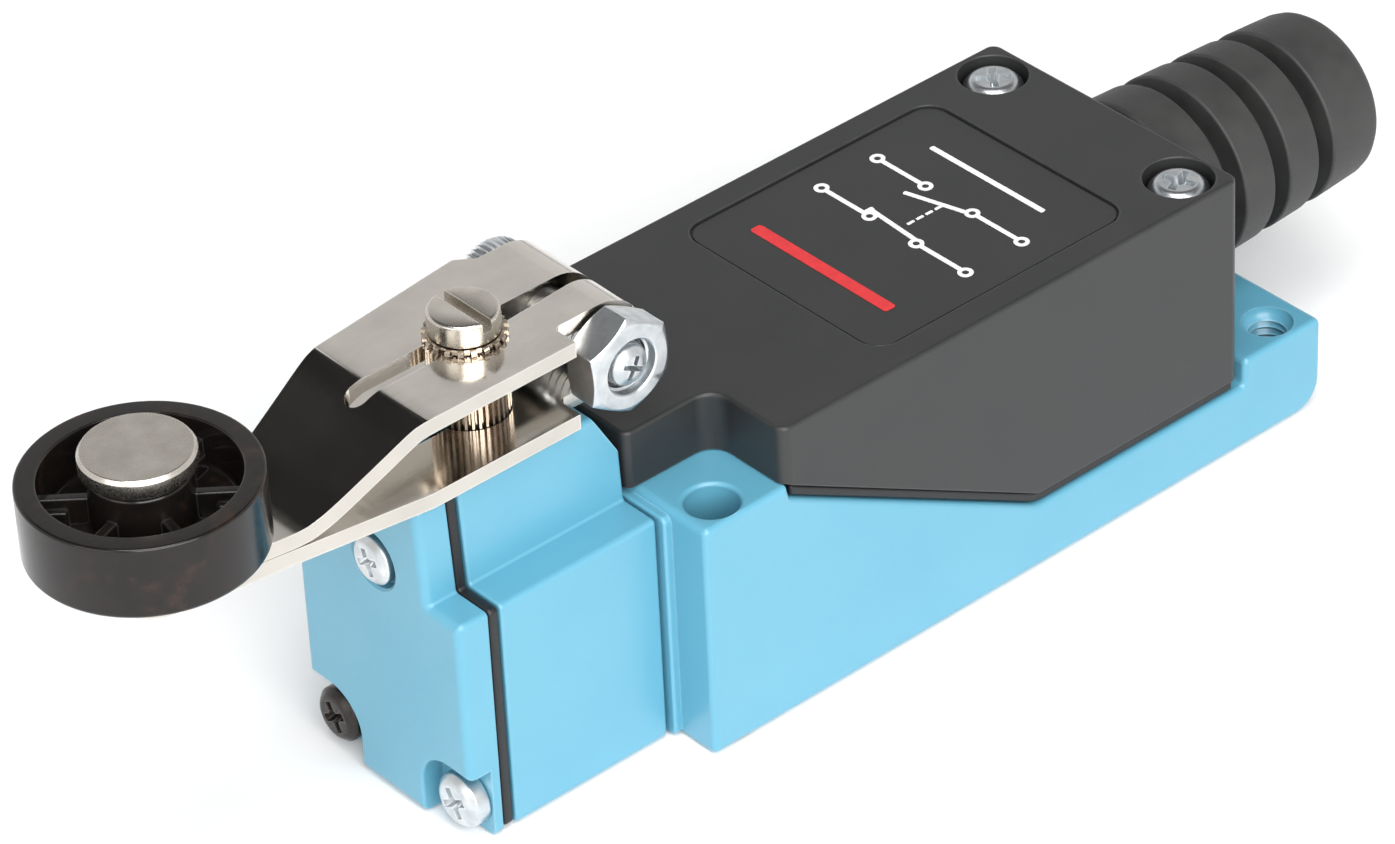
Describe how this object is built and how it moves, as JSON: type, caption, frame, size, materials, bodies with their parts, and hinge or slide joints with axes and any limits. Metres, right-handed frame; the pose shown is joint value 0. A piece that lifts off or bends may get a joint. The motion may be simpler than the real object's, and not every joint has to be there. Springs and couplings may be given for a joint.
{
  "type": "roller lever limit switch",
  "caption": "Compact limit switch with a die-cast body, moulded cover, rubber cable gland and a clamped roller lever that swings and springs back to centre.",
  "frame": {"origin": "centre of the body's back mounting face", "axes": "+X from the roller towards the cable gland, +Y across the body, +Z out of the mounting face towards the cover"},
  "size_m": [0.125, 0.0272, 0.041],
  "materials": {
    "blue_paint": "smooth satin paint on a zinc die casting",
    "black_plastic": "fine spark-eroded texture",
    "label_film": "flat printed film",
    "black_rubber": "matt moulded rubber",
    "zinc_plate": "bright zinc plate",
    "black_screw": "black oxide",
    "nickel_plate": "nickel plate on pressed sheet",
    "turned_steel": "turned and ground",
    "roller_resin": "glossy moulded nylon",
    "bush_bronze": "sintered",
    "spring_steel": "drawn wire",
    "phenolic": "moulded phenolic resin",
    "brass": "turned",
    "contact_copper": "pressed strip with silver contacts"
  },
  "bodies": {
    "body": {"base_housing": "blue_paint", "switch_cover": "black_plastic", "label_plate": "label_film", "cover_gasket": "black_rubber", "cover_screw_near": "zinc_plate", "cover_screw_far": "zinc_plate", "head_housing": "blue_paint", "head_gasket": "black_rubber", "head_cap": "blue_paint", "head_screw_near": "zinc_plate", "head_screw_far": "black_screw", "head_screw_top": "zinc_plate", "head_seal": "black_rubber", "shaft_bush": "bush_bronze", "shaft_seal": "black_rubber", "cable_gland": "black_rubber", "gland_washer": "black_plastic", "switch_block": "phenolic", "block_screw_a": "brass", "block_screw_b": "brass", "terminal_1_near": "contact_copper", "terminal_1_far": "contact_copper", "terminal_2_near": "contact_copper", "terminal_2_far": "contact_copper", "terminal_screw_1_near": "brass", "terminal_screw_1_far": "brass", "terminal_screw_2_near": "brass", "terminal_screw_2_far": "brass", "follower_spring": "spring_steel", "carrier_spring": "spring_steel"},
    "lever": {"lever_arm": "nickel_plate", "clamp_bolt": "zinc_plate", "clamp_nut": "zinc_plate", "lever_shaft": "turned_steel", "shaft_cam": "turned_steel", "lock_washer": "zinc_plate", "shaft_screw": "turned_steel", "roller_pin": "turned_steel", "roller_washer": "zinc_plate"},
    "roller": {"roller": "roller_resin"},
    "follower": {"cam_follower": "turned_steel", "push_rod": "turned_steel"},
    "carrier": {"contact_carrier": "black_plastic", "contact_bridge_1": "contact_copper", "contact_bridge_2": "contact_copper"}
  },
  "joints": [
    {"name": "lever_swing", "type": "hinge", "parent": "body", "child": "lever", "pos_m": [-0.0419, 0, 0.0324], "axis": [0, 0, 1], "range_deg": [-45, 45], "stiffness_Nm_per_rad": 0.15},
    {"name": "roller_spin", "type": "hinge", "parent": "lever", "child": "roller", "pos_m": [-0.0706, 0, 0.0355], "axis": [0, 0, 1], "continuous": true},
    {"name": "follower_slide", "type": "slide", "parent": "body", "child": "follower", "axis": [1, 0, 0], "range_m": [0, 0.0015], "stiffness_N_per_m": 700, "deforming": ["follower_spring"]},
    {"name": "carrier_slide", "type": "slide", "parent": "body", "child": "carrier", "axis": [1, 0, 0], "range_m": [0, 0.0015], "stiffness_N_per_m": 200, "deforming": ["carrier_spring"]}
  ],
  "couplings": [
    {"joint": "carrier_slide", "follows": "follower_slide", "ratio": 1}
  ]
}
